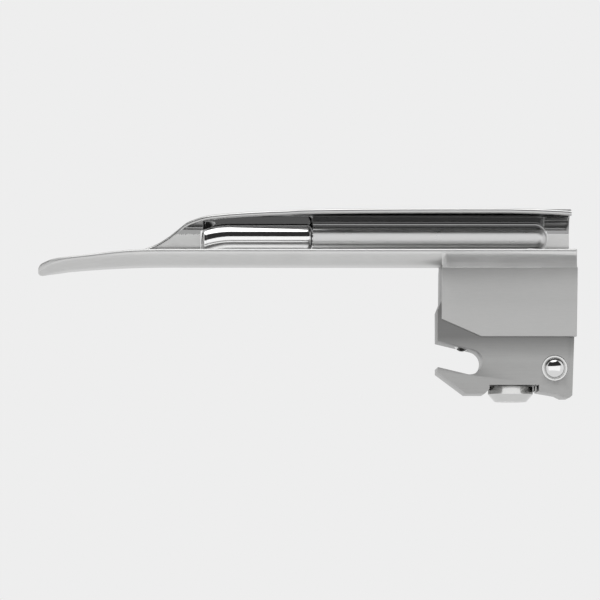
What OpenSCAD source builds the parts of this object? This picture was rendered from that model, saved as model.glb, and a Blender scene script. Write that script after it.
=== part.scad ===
// Straight laryngoscope blade, size 1, with a hook-on heel and a light guide that slides out sideways.
// Millimetres. The origin is the centre of the hook, on the mid-plane of the heel.
// -X points to the tip, +X to the heel end, +Z to the flange, -Y to the open side of the channel.

/* [Blade] */
// From the hook centre to the tip
tip_reach = 81.7; // [80:0.1:84]
// From the hook centre to the heel end of the spatula
heel_reach = 20.3; // [20:0.1:21]
// Underside of the spatula over the hook centre
floor_z = 18.3; // [18:0.1:18.8]
// Sheet thickness
sheet_t = 1; // [0.9:0.05:1.1]
// From the mid-plane to the outside of the near lip, at the heel
near_half_w = 7; // [6.6:0.1:7.4]
// How much the near lip comes in between the heel and the tip
near_taper = 1.6; // [0:0.1:2]
// From the mid-plane to the outside of the web
web_half_w = 7; // [6.8:0.1:7.2]
// Height of the flange over the underside of the spatula
flange_h = 11.2; // [11:0.1:11.6]
// Length of the flat part of the flange, at the heel
flange_len = 3; // [2:0.1:4]

/* [Heel] */
// Thickness of the tongue that goes into the handle
tongue_t = 12.9; // [12.7:0.1:13.1]
// Thickness of each cover plate
cover_t = 1.2; // [0.8:0.1:1.5]
// Radius of the hook
hook_r = 2.4; // [2.35:0.01:2.45]
// Tilt of the hook slot
hook_tilt = 13.5; // [12:0.5:15]
// Underside of the tongue, below the hook centre
tongue_drop = 6; // [5.8:0.1:6.2]

/* [Light guide] */
// Light port, from the hook centre
port_x = 8; // [7.9:0.05:8.1]
// Face of the light port, below the hook centre
port_drop = 7.4; // [7.2:0.1:7.6]
// Radius of the port ferrule
ferrule_r = 4.25; // [4.1:0.05:4.3]
// Radius of the bundle tube
tube_r = 1.4; // [1.3:0.05:1.45]
// Radius of the light sleeve in the window
sleeve_r = 2.5; // [2.4:0.05:2.55]
// Height of the light guide over the hook centre
guide_z = 24.05; // [24:0.05:24.1]
// The light guide's distance from the mid-plane
guide_y = 4.8; // [4.7:0.05:4.9]

/* [Balls and springs] */
// The detent balls, from the hook centre
detent_x = 16; // [15.9:0.05:16.1]
// The detent balls, below the hook centre
detent_drop = 1.2; // [1.1:0.05:1.3]
// Radius of a detent ball
detent_r = 2.2; // [2.18:0.01:2.22]
// Radius of the ball in the hook
hook_ball_r = 1.5; // [1.48:0.01:1.52]

/* [Hidden] */
$fn = 64;
e = 0.01;                           // overlap between cuts that meet

steel = "lightgray";
satin = "silver";

// ---- Sheet of the blade: a cross-section that is trimmed like a blank along its length ----
half_t = sheet_t / 2;
mid_floor = floor_z + half_t;       // middle of the sheet at the floor
near_r = 2.5;                       // bend between the floor and the near lip
web_r = 4;                          // bends at the foot and the head of the web
web_wall = flange_h - sheet_t - 2 * web_r;
tip_curve_x = -56.8;                // the spatula curves down from here to the tip
tip_curve_r = 200;
tip_round = 7;                      // length of the rounded end in plan
tip_round_x = tip_round - tip_reach;
nose = 0.8;                         // length of the rounded nose in side view

// Height of the near lip over the floor, as [x, height]
near_lip = [[-tip_reach, 0.35], [-80.7, 0.7], [-78.9, 1.2], [-76.2, 1.5], [-71.4, 1.65],
            [-66.4, 1.93], [-62.6, 2.05], [heel_reach, 2.05]];
// Height of the trimmed web and flange over the floor, as [x, height]
web_edge = [[-tip_reach, 0.35], [-80.7, 0.6], [-78.9, 1], [-76.2, 1.3], [-71.4, 1.5], [-66.4, 1.75],
            [-62.6, 2.1], [-59.1, 3.9], [-56.7, 5.5], [-55, 6.65], [-53.5, 7.6], [-52.2, 8.25],
            [-49.1, 9.1], [-42.8, 9.75], [-36, 10.03], [-30, 10.15], [-20, 10.2], [heel_reach, 10.2]];
// Length of the flat part of the flange, as a share of flange_len
flange_grow = [[-34, 0], [-24, 0.55], [-10, 0.9], [5, 1], [heel_reach, 1]];
// Droop of the flange, in degrees
flange_droop = [[8, 0], [14, 3], [heel_reach, 9]];
// Cross-sections along the blade, from the heel to the tip
stations = [heel_reach, 14, 8, -10, -24, -34, -42.8, -49.1, -52.2, -53.5, -55, -56.7, -59.1, -62.6,
            -66.4, -71.4, -74.5, -76.5, -78, -79.3, -80.3, -81, -81.4, -tip_reach + 0.02];
near_n = 8;
web_n = 15;
cap_n = 1;

function floor_drop(x) = x > tip_curve_x ? 0 : pow(x - tip_curve_x, 2) / (2 * tip_curve_r);
function floor_mid(x) = mid_floor - floor_drop(x);
// Half the sheet's thickness: thicker towards the tip, then rounded off at the nose
function half_thick(x) = (half_t + lookup(x, [[-80.5, 0.3], [-76, 0]]))
    * sqrt(max(0.02, 1 - pow(max(0, nose - tip_reach - x) / nose, 2)));
// Share of the width that the rounded tip leaves
function tip_share(x) = sqrt(max(0.07, 1 - pow(max(0, tip_round_x - x) / tip_round, 2.2)));
function near_mid(x) = near_half_w - half_t - near_taper * (heel_reach - x) / (heel_reach + tip_reach);
function arc_len(r, a) = r * a * PI / 180;
function near_len(x) = near_mid(x) - near_r
    + arc_len(near_r, acos(max(-0.2, 1 - min(lookup(x, near_lip), near_r) / near_r)));
web_flat = web_half_w - half_t - web_r;
function web_len(x) = let (h = lookup(x, web_edge), top = web_r + web_wall)
    h <= web_r ? web_flat + arc_len(web_r, acos(1 - h / web_r))
    : h <= top ? web_flat + arc_len(web_r, 90) + h - web_r
    : web_flat + arc_len(web_r, 90) + web_wall + arc_len(web_r, asin(min(1, (h - top) / web_r)))
      + flange_len * lookup(x, flange_grow);

// A point of the middle of the sheet: distance out, height, heading
function bend_path(s, flat, r, wall, droop) =
    let (a1 = arc_len(r, 90), s1 = s - flat, s2 = s1 - a1, s3 = s2 - wall, s4 = s3 - a1)
    s1 <= 0 ? [s, 0, 0]
    : s2 <= 0 ? let (a = 90 * s1 / a1) [flat + r * sin(a), r * (1 - cos(a)), a]
    : s3 <= 0 ? [flat + r, r + s2, 90]
    : s4 <= 0 ? let (a = 90 * s3 / a1) [flat + r * cos(a), r + wall + r * sin(a), 90 + a]
    : [flat - s4, 2 * r + wall - s4 * s4 * tan(droop) / flange_len, 180 + droop * s4 / flange_len];

// The sheet's surface, moved out (side 1) or in (side -1) by half its thickness
function sheet_pt(x, p, side, mirror_y) =
    [x, mirror_y * (p[0] + side * half_thick(x) * sin(p[2])),
     floor_mid(x) + p[1] - side * half_thick(x) * cos(p[2])];
function near_at(x, j) = bend_path(near_len(x) * tip_share(x) * j / near_n, near_mid(x) - near_r, near_r, 20, 0);
function web_at(x, j) =
    bend_path(web_len(x) * tip_share(x) * j / web_n, web_flat, web_r, web_wall, lookup(x, flange_droop));
// The rounded edge of the sheet, from its outer face to its inner face
function edge_cap(x, p, mirror_y) = [for (i = [1 : cap_n]) let (a = 180 * i / (cap_n + 1), t = half_thick(x))
    [x, mirror_y * (p[0] + t * (sin(p[2]) * cos(a) + cos(p[2]) * sin(a))),
     floor_mid(x) + p[1] + t * (sin(p[2]) * sin(a) - cos(p[2]) * cos(a))]];
function reversed(v) = [for (i = [len(v) - 1 : -1 : 0]) v[i]];
function ring(x) = concat(
    [for (j = [near_n : -1 : 1]) sheet_pt(x, near_at(x, j), 1, -1)],
    [for (j = [0 : web_n]) sheet_pt(x, web_at(x, j), 1, 1)],
    edge_cap(x, web_at(x, web_n), 1),
    [for (j = [web_n : -1 : 0]) sheet_pt(x, web_at(x, j), -1, 1)],
    [for (j = [1 : near_n]) sheet_pt(x, near_at(x, j), -1, -1)],
    reversed(edge_cap(x, near_at(x, near_n), -1)));

// The faces between the rings, and the two ends as lists of faces on the first ring
module loft(rings, end) {
    n = len(rings[0]);
    last = (len(rings) - 1) * n;
    polyhedron(
        points = [for (r = rings) each r],
        faces = concat(
            end,
            [for (k = [0 : n : last - n], i = [0 : n - 1]) each let (j = (i + 1) % n)
                [[k + i, k + n + i, k + j], [k + j, k + n + i, k + n + j]]],
            [for (f = end) [for (v = reversed(f)) v + last]]));
}

function round_end(n) = [[for (i = [0 : n - 1]) i]];
// The end of the sheet, as strips from its outer to its inner face
outer_n = near_n + web_n + 1;
function inner_of(k) = 2 * outer_n + cap_n - 1 - k;
sheet_end = concat(
    [for (k = [0 : outer_n - 2]) [k, k + 1, inner_of(k + 1), inner_of(k)]],
    [[for (i = [outer_n - 1 : outer_n + cap_n]) i]],
    [[0, for (i = [0 : cap_n]) inner_of(0) + i]]);

// ---- Light guide: sleeve, straight run, bend down, set to the port, port ----
run_start = -30.6;                  // where the sleeve's shoulder begins
run_end = 8.2;                      // where the guide bends down
bend_r = 5;
drop_x = run_end + bend_r;
bend_z = guide_z - bend_r;
set_top = 17.4;                     // the set towards the port starts here
set_r = 6;
set_a = 40;
set_out = norm([drop_x - port_x, guide_y]);
set_straight = (set_out - 2 * set_r * (1 - cos(set_a))) / sin(set_a);
set_drop = 2 * set_r * sin(set_a) + set_straight * cos(set_a);
set_bottom = set_top - set_drop;
set_turn = atan2(-guide_y, port_x - drop_x);
bundle_r = 1.2;
clear = 0.1;

ridge_wall = 0.75;
ridge_r = tube_r + clear + ridge_wall;
boss_r = 2.6;
ridge_start = -29.4;
ridge_end = 13.05;
window_start = -50.9;
shoulder = 1;                       // rounding of the sleeve where it meets the tube

tip_bend_x = -45;                   // the sleeve dips towards the tip from here
tip_bend_r = 15;
sleeve_wall = 0.4;
sleeve_in = sleeve_r - sleeve_wall;
face_x = -50.5;                     // front face of the sleeve
face_turn = 7;
ring_t = 0.5;
window_t = 0.8;
potting_end = -31;

module along_x(x0, x1, r) { translate([x0, guide_y, guide_z]) rotate([0, 90, 0]) cylinder(r = r, h = x1 - x0); }
module down_z(x, y, z0, z1, r) { translate([x, y, z1]) cylinder(r = r, h = z0 - z1); }

function turned(v, axis, a) = v * cos(a) + cross(axis, v) * sin(a) + axis * (axis * v) * (1 - cos(a));
// A place on the route: its centre and the two directions across it
function dip_at(a) = [[tip_bend_x - tip_bend_r * sin(a), guide_y, guide_z - tip_bend_r * (1 - cos(a))],
    turned([0, 1, 0], [0, 1, 0], -a), turned([0, 0, 1], [0, 1, 0], -a)];
function run_at(x) = [[x, guide_y, guide_z], [0, 1, 0], [0, 0, 1]];
function bend_at(a) = [[run_end + bend_r * sin(a), guide_y, bend_z + bend_r * cos(a)],
    [0, 1, 0], turned([0, 0, 1], [0, 1, 0], a)];
set_dir = [cos(set_turn), sin(set_turn), 0];
set_axis = [sin(set_turn), -cos(set_turn), 0];
function set_at(end, way, a) = [end + way * (set_dir * set_r * (1 - cos(a)) - [0, 0, set_r * sin(a)]),
    turned([0, 1, 0], set_axis, a), turned([1, 0, 0], set_axis, a)];
port_top = [port_x, 0, set_bottom];
function route(first, z1) = concat(first, [for (a = [0 : 15 : 90]) bend_at(a)],
    [for (a = [0 : 10 : set_a]) set_at([drop_x, guide_y, set_top], 1, a)],
    [for (a = [set_a : -10 : 0]) set_at(port_top, -1, a)],
    [set_at([port_x, 0, z1], 1, 0)]);
dip = [for (a = [28 : -7 : 0]) dip_at(a)];

// A round rod along a route
route_sides = 20;
module rod(places, r) {
    loft([for (p = places) [for (i = [0 : route_sides - 1]) let (a = 360 * i / route_sides)
        p[0] + r * (cos(a) * p[1] + sin(a) * p[2])]], round_end(route_sides));
}

// The sleeve's shape: a straight run and the dip at its front
module sleeve_form(r, x1) {
    along_x(tip_bend_x, x1, r);
    translate([tip_bend_x, guide_y, guide_z - tip_bend_r]) rotate([90, 0, 0])
        rotate([0, 0, 90]) rotate_extrude(angle = 28) translate([tip_bend_r, 0]) circle(r);
}

// Everything from distance a behind the sleeve's front face, which is turned a little to the open side
module behind_face(a, depth = 60) {
    translate([face_x, guide_y, guide_z]) rotate([0, 0, face_turn]) translate([a, -20, -40]) cube([depth, 40, 60]);
}

// ---- Grooves and slots that let the guide slide out along +Y ----
groove_r = tube_r + clear;
slot_half = tube_r + clear / 2;
out_y = 12;
module guide_groove() {
    rod(concat([run_at(ridge_start - 1)], [for (a = [0 : 15 : 90]) bend_at(a)],
               [set_at([drop_x, guide_y, set_top - 2], 1, 0)]), groove_r);
    web_slot();
}

set_slot = tube_r + 0.55;
module slot_leg(a, b) {
    d = b - a;
    translate([a[0], 0, a[1]]) rotate([0, atan2(d[0], d[1]), 0])
        translate([-set_slot, 0, 0]) cube([2 * set_slot, out_y, norm(d)]);
    for (p = [a, b]) translate([p[0], 0, p[1]]) rotate([-90, 0, 0]) cylinder(r = set_slot, h = out_y);
}

// Slot through the heel for the set of the guide, open at the far side
module heel_slot() {
    elbow = set_r * tan(set_a / 2);
    translate([0, -tube_r - 0.2, 0]) {
        slot_leg([drop_x, floor_z + 4], [drop_x, set_top - elbow]);
        slot_leg([drop_x, set_top - elbow], [port_x, set_bottom + elbow]);
        slot_leg([port_x, set_bottom + elbow], [port_x, stem_top]);
    }
}

// ---- Ferrule ----
cap_top = -4.45;
cap_edge = -6;
cap_face_r = 2.95;
stem_r = 2.4;
stem_top = 1.5;
tube_stop = -2.6;
potting_r = 1.9;
port_t = 0.6;

// ---- Tongue ----
tongue_y = tongue_t / 2;
notch_half = ferrule_r + 0.07;
notch_top = -4.33;
leaf_t = 0.25;
slit_w = 0.42;
hook_ball_x = -1.2;
hook_ball_z = 3.65;
hook_bore_top = 11;
detent_body_r = 2.45;
detent_len = 6;
detent_mouth_r = 1.97;
detent_depth = sqrt(detent_r * detent_r - detent_mouth_r * detent_mouth_r);
detent_floor = 0.5;
detent_seat = 0.5;                  // how far the spring reaches up round the ball

module side_profile(pts, t) { rotate([90, 0, 0]) translate([0, 0, -t / 2]) linear_extrude(t) polygon(pts); }

// The way that the guide slides out through the web and the foot of the channel
module web_slot() {
    translate([run_start - e, guide_y, guide_z - slot_half])
        cube([run_end - run_start + e, out_y, 2 * slot_half]);
    translate([run_end, guide_y, bend_z]) intersection() {
        rotate([-90, 0, 0]) difference() {
            cylinder(r = bend_r + slot_half, h = out_y);
            translate([0, 0, -1]) cylinder(r = bend_r - slot_half, h = out_y + 2);
        }
        cube(20);
    }
    translate([drop_x - slot_half, guide_y, set_top - 2]) cube([2 * slot_half, out_y, bend_z - set_top + 2]);
}

// The window in the web, which follows the outline of the sleeve
module sleeve_window() {
    gap = sleeve_r + clear;
    len = run_start - tip_bend_x;
    translate([tip_bend_x - e, guide_y - 0.5, guide_z - gap]) cube([len + e, out_y, 2 * gap]);
    translate([tip_bend_x, guide_y - 0.5, guide_z - tip_bend_r]) intersection() {
        rotate([-90, 0, 0]) difference() {
            cylinder(r = tip_bend_r + gap, h = out_y);
            translate([0, 0, -1]) cylinder(r = tip_bend_r - gap, h = out_y + 2);
        }
        translate([window_start - tip_bend_x, -1, 0]) cube([tip_bend_x - window_start, 20, 20]);
    }
    for (side = [-1, 1]) translate([run_start, guide_y - 0.5, guide_z + side * (sleeve_r - shoulder)])
        rotate([-90, 0, 0]) cylinder(r = shoulder + clear, h = out_y);
}

module blade_shell() {
    color(satin) difference() {
        loft([for (x = reversed(stations)) ring(x)], sheet_end);
        web_slot();
        down_z(drop_x, guide_y, bend_z + 2, set_top - 2, groove_r);
        sleeve_window();
        translate([heel_reach - 0.6, -5, floor_z + 3.2]) cube([5, 15, 12]);
    }
}

// The half-tunnel on the web that the guide lies in, with a domed end and a boss over the drop
module light_channel() {
    dome = [for (a = [0 : 15 : 75]) [[ridge_end + ridge_r * sin(a), guide_y, guide_z], cos(a)]];
    flange_y = web_half_w - sheet_t - 0.25;
    color(satin) difference() {
        union() {
            loft([for (d = concat([[[ridge_start, guide_y, guide_z], 1]], dome))
                [for (i = [0 : route_sides - 1]) let (a = 360 * i / route_sides)
                    d[0] + ridge_r * d[1] * [0, cos(a), sin(a)]]], round_end(route_sides));
            intersection() {
                down_z(drop_x, guide_y, guide_z - ridge_r + 0.25, floor_z, boss_r);
                translate([0, web_flat, mid_floor + web_r]) rotate([0, 90, 0])
                    cylinder(r = web_r - half_t - 0.1, h = 30);
            }
        }
        guide_groove();
        translate([-60, flange_y, 0]) cube([90, 10, 60]);
    }
}

module heel_block() {
    foot_z = -tongue_drop - 0.7;
    color(satin) difference() {
        side_profile([[-5.3, floor_z], [-5.3, 11.6], [-6.05, 9.7], [-6.05, -2], [-0.7, -tongue_drop],
                      [2.8, -tongue_drop], [3.7, -5.1], [12.9, -5.5], [16.6, -6.15], [17.7, foot_z],
                      [18.9, foot_z], [19.3, foot_z + 0.4], [19.7, 4.4], [19.95, floor_z]], tongue_t);
        // hook
        rotate([90, 0, 0]) cylinder(r = hook_r, h = 20, center = true);
        rotate([0, hook_tilt, 0]) translate([-20, -10, -hook_r]) cube([20, 20, 2 * hook_r]);
        // ball in the upper jaw, kept in by the lip of its bore
        down_z(hook_ball_x, 0, hook_bore_top, hook_ball_z - 0.72, hook_ball_r + 0.04);
        down_z(hook_ball_x, 0, hook_ball_z, 0, 1.34);
        // notch of the ferrule, and the slit that the leaf gives way into
        translate([port_x - notch_half, -10, -20]) cube([2 * notch_half, 20, 20 + notch_top]);
        translate([port_x, -10, -20]) cube([notch_half + leaf_t + slit_w, 20, 20 + notch_top]);
        // stem and set of the light guide
        down_z(port_x, 0, stem_top + 0.1, notch_top - e, stem_r + clear);
        translate([port_x - stem_r - clear, 0, notch_top - e])
            cube([2 * (stem_r + clear), out_y, stem_top + 0.1 - notch_top + e]);
        heel_slot();
        // detent bodies
        translate([detent_x, 0, -detent_drop]) rotate([90, 0, 0]) cylinder(r = detent_body_r, h = 20, center = true);
    }
}

module cover_plate() {
    top = floor_z - 0.5;
    rotate([90, 0, 0]) linear_extrude(cover_t)
        polygon([[-5.3, top], [-5.4, 8], [2.1, 4.7], [20.1, 4.7], [20.35, top]]);
}

module heel_cover_right() { color(satin) translate([0, -tongue_y, 0]) cover_plate(); }

// The far cover is two plates, with the slot of the light guide between them
module far_plate(front) {
    lean = atan2(drop_x - port_x, floor_z - 4.7);
    color(satin) intersection() {
        difference() {
            translate([0, tongue_y + cover_t, 0]) cover_plate();
            heel_slot();
        }
        translate([(drop_x + port_x) / 2, 0, 11]) rotate([0, lean, 0])
            translate([front ? -40 : 0, 0, -20]) cube([40, 20, 40]);
    }
}
module heel_cover_left_front() { far_plate(true); }
module heel_cover_left_rear() { far_plate(false); }

module light_sleeve() {
    color(steel) {
        difference() {
            intersection() { sleeve_form(sleeve_r, run_start); behind_face(ring_t); }
            sleeve_form(sleeve_in, potting_end);
            along_x(potting_end - 1, run_start + 1, tube_r);
        }
        translate([run_start, guide_y, guide_z]) rotate([0, 90, 0]) difference() {
            union() {
                cylinder(r = sleeve_r - shoulder, h = shoulder);
                rotate_extrude() intersection() {
                    translate([sleeve_r - shoulder, 0]) circle(shoulder);
                    square([sleeve_r, shoulder]);
                }
            }
            translate([0, 0, -1]) cylinder(r = tube_r, h = shoulder + 2);
        }
    }
}

module distal_ring() {
    color(steel) difference() {
        intersection() { sleeve_form(sleeve_r, run_start); behind_face(0, ring_t); }
        sleeve_form(sleeve_in, run_start + 1);
    }
}

module light_window() {
    color("lightcyan") intersection() { sleeve_form(sleeve_in, run_start); behind_face(0.1, window_t); }
}

module sleeve_potting() {
    color("goldenrod") difference() {
        intersection() { sleeve_form(sleeve_in, potting_end); behind_face(0.1 + window_t); }
        sleeve_form(bundle_r, potting_end + 1);
    }
}

module fibre_bundle() {
    color("ivory") intersection() {
        rod(route(dip, -port_drop + port_t), bundle_r);
        behind_face(0.1 + window_t, 90);
    }
}

module bundle_tube() {
    color(steel) difference() {
        rod(route([run_at(potting_end)], tube_stop), tube_r);
        rod(route([run_at(potting_end - 1)], tube_stop - 1), bundle_r);
    }
}

module light_ferrule() {
    color(steel) translate([port_x, 0, 0]) rotate_extrude() polygon([
        [tube_r, stem_top], [stem_r, stem_top], [stem_r, cap_top], [ferrule_r, cap_top],
        [ferrule_r, cap_edge], [cap_face_r, -port_drop], [potting_r, -port_drop],
        [potting_r, tube_stop], [tube_r, tube_stop]]);
}

module port_potting() {
    color("goldenrod") translate([port_x, 0, -port_drop + port_t]) difference() {
        cylinder(r = potting_r, h = port_drop - port_t + tube_stop);
        translate([0, 0, -1]) cylinder(r = bundle_r, h = 10);
    }
}

module port_window() { color("lightcyan") translate([port_x, 0, -port_drop]) cylinder(r = potting_r, h = port_t); }

module retaining_leaf() {
    leaf_h = 1.15;
    color(steel) translate([port_x + notch_half, 0.15 - tongue_y, notch_top - 0.03 - leaf_h])
        cube([leaf_t, tongue_t - 0.3, leaf_h]);
}

module hook_ball() { color(steel) translate([hook_ball_x, 0, hook_ball_z]) sphere(hook_ball_r); }

// A coil along +Z from the origin
module coil(radius, wire_r, height, turns) {
    steps = 12;
    sides = 6;
    n = steps * turns;
    rise = (height - 2 * wire_r) / n;
    loft([for (k = [0 : n]) let (a = 360 * k / steps)
        [for (i = [0 : sides - 1]) let (b = -360 * i / sides, r = radius + wire_r * cos(b))
            [r * cos(a), r * sin(a), wire_r + k * rise + wire_r * sin(b)]]], round_end(sides));
}

module hook_spring() {
    foot = hook_ball_z + hook_ball_r;
    color(steel) translate([hook_ball_x, 0, foot]) coil(1.05, 0.2, hook_bore_top - foot, 6);
}

module detent_body() {
    bore_r = detent_r + 0.03;
    rotate_extrude() polygon([[0, 0], [detent_body_r, 0], [detent_body_r, detent_len],
        [detent_mouth_r + 0.03, detent_len], [bore_r, detent_len - detent_depth + 0.35],
        [bore_r, detent_floor], [0, detent_floor]]);
}

module at_detent(side) {
    translate([detent_x, side * (tongue_y - detent_len), -detent_drop]) rotate([-90 * side, 0, 0]) children();
}

module detent_body_left() { color(steel) at_detent(1) detent_body(); }
module detent_body_right() { color(steel) at_detent(-1) detent_body(); }
module detent_ball() { translate([0, 0, detent_len - detent_depth]) sphere(detent_r); }
module detent_ball_left() { color(steel) at_detent(1) detent_ball(); }
module detent_ball_right() { color(steel) at_detent(-1) detent_ball(); }
module detent_spring() {
    translate([0, 0, detent_floor])
        coil(1.5, 0.25, detent_len - detent_depth - detent_r - detent_floor + detent_seat, 3);
}
module detent_spring_left() { color(steel) at_detent(1) detent_spring(); }
module detent_spring_right() { color(steel) at_detent(-1) detent_spring(); }

blade_shell();
light_channel();
heel_block();
heel_cover_right();
heel_cover_left_front();
heel_cover_left_rear();
light_sleeve();
distal_ring();
light_window();
sleeve_potting();
fibre_bundle();
bundle_tube();
light_ferrule();
port_potting();
port_window();
retaining_leaf();
hook_ball();
hook_spring();
detent_body_left();
detent_body_right();
detent_ball_left();
detent_ball_right();
detent_spring_left();
detent_spring_right();
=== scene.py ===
"""Looks of a straight laryngoscope blade with a hook-on heel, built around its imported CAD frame.

Shapes are worked out in millimetres and turned to metres when a mesh is made. X runs from the tip
to the heel, Z up to the flange, and -Y is the open side of the channel.
"""
import math

import bmesh
import bpy
import numpy as np
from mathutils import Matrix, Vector


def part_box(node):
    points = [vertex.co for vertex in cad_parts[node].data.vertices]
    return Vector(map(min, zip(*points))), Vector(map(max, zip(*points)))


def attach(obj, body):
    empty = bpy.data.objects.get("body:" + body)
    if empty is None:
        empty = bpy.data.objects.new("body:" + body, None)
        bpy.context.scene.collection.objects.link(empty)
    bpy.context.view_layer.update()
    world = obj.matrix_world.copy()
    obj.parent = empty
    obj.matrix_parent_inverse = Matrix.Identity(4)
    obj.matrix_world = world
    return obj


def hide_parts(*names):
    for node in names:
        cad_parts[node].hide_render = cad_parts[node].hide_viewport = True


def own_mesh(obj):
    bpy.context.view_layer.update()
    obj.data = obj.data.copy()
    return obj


MM = 0.001
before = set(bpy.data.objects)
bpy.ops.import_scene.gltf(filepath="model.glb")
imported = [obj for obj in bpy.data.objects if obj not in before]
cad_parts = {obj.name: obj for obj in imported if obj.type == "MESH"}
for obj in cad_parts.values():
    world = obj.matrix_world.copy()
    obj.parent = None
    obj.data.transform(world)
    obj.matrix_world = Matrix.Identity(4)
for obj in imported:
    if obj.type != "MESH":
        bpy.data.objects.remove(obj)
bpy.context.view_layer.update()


def box_mm(node):
    """The two corners of a CAD node, in millimetres."""
    low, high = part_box(node)
    return np.array(low) / MM, np.array(high) / MM


_, shell_high = box_mm("blade_shell")
_, block_high = box_mm("heel_block")
cover_low, cover_high = box_mm("heel_cover_right")
tube_low, _ = box_mm("bundle_tube")
ferrule_low, ferrule_high = box_mm("light_ferrule")

# ---- Driving dimensions of the sheet, in millimetres ----
TIP_X = -81.7
HEEL_X = shell_high[0]
FLOOR_Z = block_high[2]             # underside of the spatula
SHEET_T = 1.0
HALF_T = SHEET_T / 2
MID_FLOOR = FLOOR_Z + HALF_T        # middle of the sheet at the floor
NEAR_HALF_W = 7.0                   # mid-plane to the outside of the near lip, at the heel
NEAR_TAPER = 1.6                    # how much the near lip comes in by the tip
WEB_HALF_W = shell_high[1]
FLANGE_H = shell_high[2] - FLOOR_Z
FLANGE_LEN = 3.0
NEAR_R = 2.5                        # bend between the floor and the near lip
WEB_R = 4.0                         # bends at the foot and the head of the web
WEB_WALL = FLANGE_H - SHEET_T - 2 * WEB_R
WEB_FLAT = WEB_HALF_W - HALF_T - WEB_R
TIP_CURVE_X = -56.8                 # the spatula curves down from here to the tip
TIP_CURVE_R = 200.0
TIP_ROUND = 7.0                     # length of the rounded end in plan
NOSE = 0.8                          # length of the rounded nose in side view
EDGE_R = 0.3                        # softening of the sheet's cut end at the heel

# ---- Driving dimensions of the light guide and its ridge ----
GUIDE_Y, GUIDE_Z = 4.8, 24.05       # centre line of the straight run
SLEEVE_R, SLEEVE_IN = 2.5, 2.1      # outside and inside radius
TUBE_R = 1.4
BUNDLE_R = 1.2
CLEAR = 0.1
RUN_START, RUN_END = -30.6, 8.2     # ends of the straight run
BEND_R = 5.0                        # bend between the run and the drop
DROP_X = RUN_END + BEND_R
BEND_Z = GUIDE_Z - BEND_R
TIP_BEND_X, TIP_BEND_R = -45.0, 15.0  # where the sleeve's dip starts, and its radius
FACE_X = -50.5
FACE_TURN = math.radians(7)         # the front face looks this much out of the axis
PORT_X = (ferrule_low[0] + ferrule_high[0]) / 2
PORT_Z = ferrule_low[2]
RIDGE_R = 2.25
RIDGE_START, RIDGE_END = -29.4, 13.05


# ---- Mesh helpers ----
def smooth_through(table):
    """A smooth curve through [x, value] pairs that doesn't overshoot them."""
    x, y = np.array(table, float).T
    h, d = np.diff(x), np.diff(y) / np.diff(x)
    slope = np.zeros(len(x))
    for i in range(1, len(x) - 1):
        if d[i - 1] * d[i] > 0:
            w1, w2 = 2 * h[i] + h[i - 1], h[i] + 2 * h[i - 1]
            slope[i] = (w1 + w2) / (w1 / d[i - 1] + w2 / d[i])
    slope[0], slope[-1] = d[0], d[-1]

    def at(q):
        """The curve's height at q."""
        q = min(max(q, x[0]), x[-1])
        i = min(int(np.searchsorted(x, q, side="right")) - 1, len(x) - 2)
        t = (q - x[i]) / h[i]
        return ((1 + 2 * t) * (1 - t) ** 2 * y[i] + t * (1 - t) ** 2 * h[i] * slope[i]
                + t * t * (3 - 2 * t) * y[i + 1] + t * t * (t - 1) * h[i] * slope[i + 1])
    return at


def loft(rings, wrap=False):
    """Points and faces between closed rings of points, with the two ends closed."""
    n, m = len(rings[0]), len(rings)
    points = [tuple(p) for ring in rings for p in ring]
    faces = [(k * n + i, k * n + (i + 1) % n, (k + 1) % m * n + (i + 1) % n, (k + 1) % m * n + i)
             for k in range(m if wrap else m - 1) for i in range(n)]
    if not wrap:
        faces += [tuple(range(n)), tuple(range((m - 1) * n, m * n))]
    return points, faces


def make(name, shape, material, sharp=32.0, face_material=None):
    """A mesh object from points in millimetres, smooth except at sharp edges."""
    points, faces = shape
    mesh = bpy.data.meshes.new(name)
    bm = bmesh.new()
    verts = [bm.verts.new(np.array(p, float) * MM) for p in points]
    for k, face in enumerate(faces):
        made = bm.faces.new([verts[i] for i in face])
        made.material_index = face_material(k) if face_material else 0
    bmesh.ops.remove_doubles(bm, verts=bm.verts, dist=2e-7)
    bmesh.ops.dissolve_degenerate(bm, edges=bm.edges, dist=1e-7)
    bmesh.ops.recalc_face_normals(bm, faces=bm.faces)
    bm.to_mesh(mesh)
    bm.free()
    obj = bpy.data.objects.new(name, mesh)
    bpy.context.scene.collection.objects.link(obj)
    for m in material if isinstance(material, list) else [material]:
        mesh.materials.append(m)
    soften(obj, sharp)
    return obj


def soften(obj, sharp):
    """Smooth shading that stops at edges sharper than that many degrees."""
    obj.data.polygons.foreach_set("use_smooth", [True] * len(obj.data.polygons))
    obj.data.set_sharp_from_angle(angle=math.radians(sharp))
    obj.data.update()


def settle(obj, sharp=32.0):
    """Applies the object's modifiers."""
    graph = bpy.context.evaluated_depsgraph_get()
    mesh = bpy.data.meshes.new_from_object(obj.evaluated_get(graph), depsgraph=graph)
    obj.modifiers.clear()
    obj.data = mesh
    soften(obj, sharp)
    return obj


def cut(obj, *shapes):
    """Cuts closed shapes, in millimetres, out of an object. The shapes are clear of each other."""
    points, faces = [], []
    for shape_points, shape_faces in shapes:
        faces += [[len(points) + i for i in face] for face in shape_faces]
        points += shape_points
    tool = make("cutter", (points, faces), obj.data.materials[0])
    boolean = obj.modifiers.new("cut", "BOOLEAN")
    boolean.operation, boolean.solver, boolean.object = "DIFFERENCE", "EXACT", tool
    settle(obj)
    bpy.data.objects.remove(tool)
    return obj


def bevelled(obj, width, segments=3, angle=30.0):
    """Rounds the sharp edges of an object."""
    bevel = obj.modifiers.new("edge", "BEVEL")
    bevel.width, bevel.segments = width * MM, segments
    bevel.limit_method, bevel.angle_limit = "ANGLE", math.radians(angle)
    return settle(obj, 50.0)


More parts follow.
